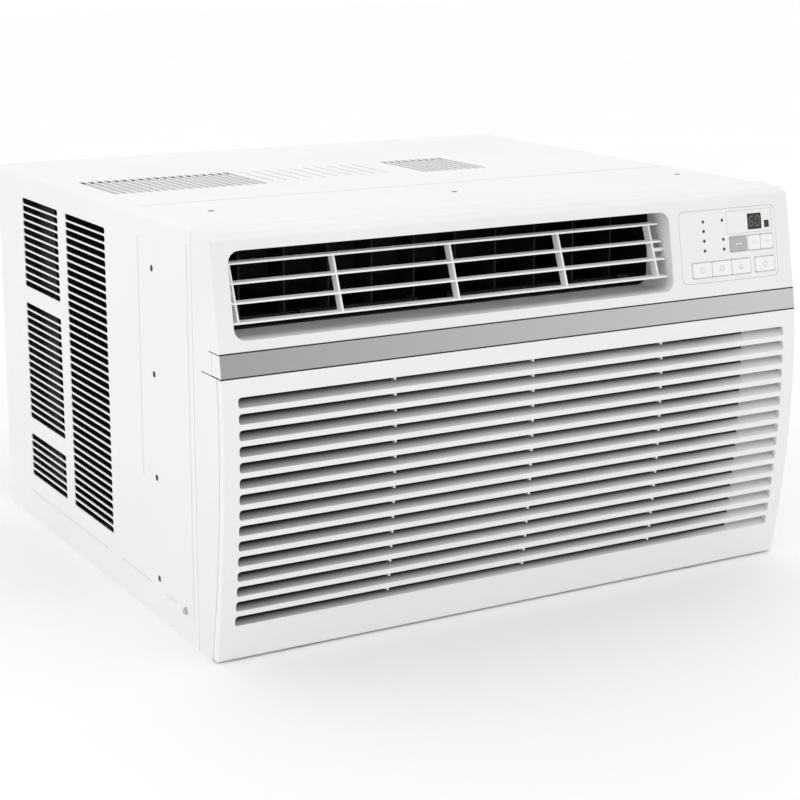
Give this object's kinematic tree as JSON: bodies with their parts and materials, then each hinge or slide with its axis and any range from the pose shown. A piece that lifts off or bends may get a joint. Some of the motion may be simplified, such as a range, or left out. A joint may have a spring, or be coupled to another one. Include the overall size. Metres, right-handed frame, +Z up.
{
  "type": "window air conditioner",
  "caption": "Window air conditioner with louvred steel cabinet, bulged plastic front, tilting louvre, turning vanes, drop-down intake grille, filter and press keys.",
  "frame": {"origin": "middle of the base", "axes": "+X to the viewer's right along the front, +Y towards the rear (outdoor) side, +Z up"},
  "size_m": [0.6, 0.56, 0.365],
  "materials": {
    "white_steel": "semi-gloss powder coat",
    "white_plastic": "satin moulded ABS",
    "pale_plastic": "smooth satin",
    "grey_plastic": "smooth satin",
    "silver_trim": "satin metallic paint",
    "dark_plastic": "satin moulded",
    "filter_mesh": "fine woven mesh in a moulded frame",
    "galvanised": "galvanised sheet",
    "fin_metal": "fine fins",
    "copper": "drawn copper tube",
    "black_paint": "gloss black",
    "foam": "moulded polystyrene foam",
    "rubber": "moulded",
    "board": "solder mask",
    "smoked_lens": "polished",
    "light_guide": "clear"
  },
  "bodies": {
    "housing": {"cabinet_sleeve": "white_steel", "cabinet_base": "galvanised", "front_bezel": "white_plastic", "trim_band": "silver_trim", "discharge_duct": "dark_plastic", "control_overlay": "pale_plastic", "display_window": "smoked_lens", "ir_window": "smoked_lens", "led_light_guide": "light_guide", "control_board": "board", "blower_scroll": "dark_plastic", "blower_orifice": "foam", "fan_motor": "black_paint", "motor_bracket": "galvanised", "evaporator_coil": "fin_metal", "drip_tray": "foam", "condenser_coil": "fin_metal", "compressor": "black_paint", "compressor_grommet_1": "rubber", "compressor_grommet_2": "rubber", "compressor_grommet_3": "rubber", "accumulator": "black_paint", "suction_pipe": "copper", "discharge_pipe": "copper", "liquid_pipe": "copper", "base_pan": "galvanised", "bulkhead": "galvanised", "condenser_shroud": "dark_plastic", "control_box": "galvanised", "control_box_cover": "galvanised", "run_capacitor": "galvanised", "power_board": "board"},
    "grille": {"intake_grille": "white_plastic", "air_filter": "filter_mesh"},
    "louvre": {"louvre_frame": "white_plastic"},
    "rotor": {"motor_shaft": "galvanised", "blower_wheel": "dark_plastic", "condenser_fan": "dark_plastic"},
    "key_mode_cap": {"key_mode": "grey_plastic"},
    "key_temp_down_cap": {"key_temp_down": "pale_plastic"},
    "key_temp_up_cap": {"key_temp_up": "pale_plastic"},
    "key_timer_cap": {"key_timer": "pale_plastic"},
    "key_fan_speed_cap": {"key_fan_speed": "pale_plastic"},
    "key_energy_saver_cap": {"key_energy_saver": "pale_plastic"},
    "key_power_cap": {"key_power": "pale_plastic"},
    "vane_left_1_blade": {"vane_left_1": "dark_plastic"},
    "vane_left_2_blade": {"vane_left_2": "dark_plastic"},
    "vane_left_3_blade": {"vane_left_3": "dark_plastic"},
    "vane_left_4_blade": {"vane_left_4": "dark_plastic"},
    "vane_left_5_blade": {"vane_left_5": "dark_plastic"},
    "vane_left_link": {"vane_link_left": "dark_plastic"},
    "vane_right_1_blade": {"vane_right_1": "dark_plastic"},
    "vane_right_2_blade": {"vane_right_2": "dark_plastic"},
    "vane_right_3_blade": {"vane_right_3": "dark_plastic"},
    "vane_right_4_blade": {"vane_right_4": "dark_plastic"},
    "vane_right_5_blade": {"vane_right_5": "dark_plastic"},
    "vane_right_link": {"vane_link_right": "dark_plastic"}
  },
  "joints": [
    {"name": "grille_hinge", "type": "hinge", "parent": "housing", "child": "grille", "pos_m": [0, -0.255, 0.0045], "axis": [1, 0, 0], "range_deg": [0, 35]},
    {"name": "louvre_tilt", "type": "hinge", "parent": "housing", "child": "louvre", "pos_m": [0, -0.252, 0.315], "axis": [1, 0, 0], "range_deg": [-10, 30]},
    {"name": "fan_spin", "type": "hinge", "parent": "housing", "child": "rotor", "pos_m": [-0.045, 0, 0.15], "axis": [0, 1, 0], "continuous": true},
    {"name": "vane_left_1_turn", "type": "hinge", "parent": "housing", "child": "vane_left_1_blade", "pos_m": [-0.26, -0.212, 0.315], "axis": [0, 0, 1], "range_deg": [-30, 30]},
    {"name": "vane_left_2_turn", "type": "hinge", "parent": "housing", "child": "vane_left_2_blade", "pos_m": [-0.218, -0.212, 0.315], "axis": [0, 0, 1], "range_deg": [-30, 30]},
    {"name": "vane_left_3_turn", "type": "hinge", "parent": "housing", "child": "vane_left_3_blade", "pos_m": [-0.176, -0.212, 0.315], "axis": [0, 0, 1], "range_deg": [-30, 30]},
    {"name": "vane_left_4_turn", "type": "hinge", "parent": "housing", "child": "vane_left_4_blade", "pos_m": [-0.134, -0.212, 0.315], "axis": [0, 0, 1], "range_deg": [-30, 30]},
    {"name": "vane_left_5_turn", "type": "hinge", "parent": "housing", "child": "vane_left_5_blade", "pos_m": [-0.092, -0.212, 0.315], "axis": [0, 0, 1], "range_deg": [-30, 30]},
    {"name": "vane_left_link_swing", "type": "hinge", "parent": "vane_left_1_blade", "child": "vane_left_link", "pos_m": [-0.26, -0.221, 0.2868], "axis": [0, 0, 1], "range_deg": [-30, 30]},
    {"name": "vane_right_1_turn", "type": "hinge", "parent": "housing", "child": "vane_right_1_blade", "pos_m": [-0.05, -0.212, 0.315], "axis": [0, 0, 1], "range_deg": [-30, 30]},
    {"name": "vane_right_2_turn", "type": "hinge", "parent": "housing", "child": "vane_right_2_blade", "pos_m": [-0.008, -0.212, 0.315], "axis": [0, 0, 1], "range_deg": [-30, 30]},
    {"name": "vane_right_3_turn", "type": "hinge", "parent": "housing", "child": "vane_right_3_blade", "pos_m": [0.034, -0.212, 0.315], "axis": [0, 0, 1], "range_deg": [-30, 30]},
    {"name": "vane_right_4_turn", "type": "hinge", "parent": "housing", "child": "vane_right_4_blade", "pos_m": [0.076, -0.212, 0.315], "axis": [0, 0, 1], "range_deg": [-30, 30]},
    {"name": "vane_right_5_turn", "type": "hinge", "parent": "housing", "child": "vane_right_5_blade", "pos_m": [0.118, -0.212, 0.315], "axis": [0, 0, 1], "range_deg": [-30, 30]},
    {"name": "vane_right_link_swing", "type": "hinge", "parent": "vane_right_1_blade", "child": "vane_right_link", "pos_m": [-0.05, -0.221, 0.2868], "axis": [0, 0, 1], "range_deg": [-30, 30]},
    {"name": "key_mode_press", "type": "slide", "parent": "housing", "child": "key_mode_cap", "axis": [0, 0.9849, -0.1729], "range_m": [0, 0.0006], "stiffness_N_per_m": 400, "springref_m": -0.001},
    {"name": "key_temp_down_press", "type": "slide", "parent": "housing", "child": "key_temp_down_cap", "axis": [0, 0.9849, -0.1729], "range_m": [0, 0.0006], "stiffness_N_per_m": 400, "springref_m": -0.001},
    {"name": "key_temp_up_press", "type": "slide", "parent": "housing", "child": "key_temp_up_cap", "axis": [0, 0.9849, -0.1729], "range_m": [0, 0.0006], "stiffness_N_per_m": 400, "springref_m": -0.001},
    {"name": "key_timer_press", "type": "slide", "parent": "housing", "child": "key_timer_cap", "axis": [0, 0.9849, -0.1729], "range_m": [0, 0.0006], "stiffness_N_per_m": 400, "springref_m": -0.001},
    {"name": "key_fan_speed_press", "type": "slide", "parent": "housing", "child": "key_fan_speed_cap", "axis": [0, 0.9849, -0.1729], "range_m": [0, 0.0006], "stiffness_N_per_m": 400, "springref_m": -0.001},
    {"name": "key_energy_saver_press", "type": "slide", "parent": "housing", "child": "key_energy_saver_cap", "axis": [0, 0.9849, -0.1729], "range_m": [0, 0.0006], "stiffness_N_per_m": 400, "springref_m": -0.001},
    {"name": "key_power_press", "type": "slide", "parent": "housing", "child": "key_power_cap", "axis": [0, 0.9849, -0.1729], "range_m": [0, 0.0006], "stiffness_N_per_m": 400, "springref_m": -0.001}
  ],
  "couplings": [
    {"joint": "vane_left_2_turn", "follows": "vane_left_1_turn", "ratio": 1},
    {"joint": "vane_left_3_turn", "follows": "vane_left_1_turn", "ratio": 1},
    {"joint": "vane_left_4_turn", "follows": "vane_left_1_turn", "ratio": 1},
    {"joint": "vane_left_5_turn", "follows": "vane_left_1_turn", "ratio": 1},
    {"joint": "vane_left_link_swing", "follows": "vane_left_1_turn", "ratio": -1},
    {"joint": "vane_right_2_turn", "follows": "vane_right_1_turn", "ratio": 1},
    {"joint": "vane_right_3_turn", "follows": "vane_right_1_turn", "ratio": 1},
    {"joint": "vane_right_4_turn", "follows": "vane_right_1_turn", "ratio": 1},
    {"joint": "vane_right_5_turn", "follows": "vane_right_1_turn", "ratio": 1},
    {"joint": "vane_right_link_swing", "follows": "vane_right_1_turn", "ratio": -1}
  ]
}
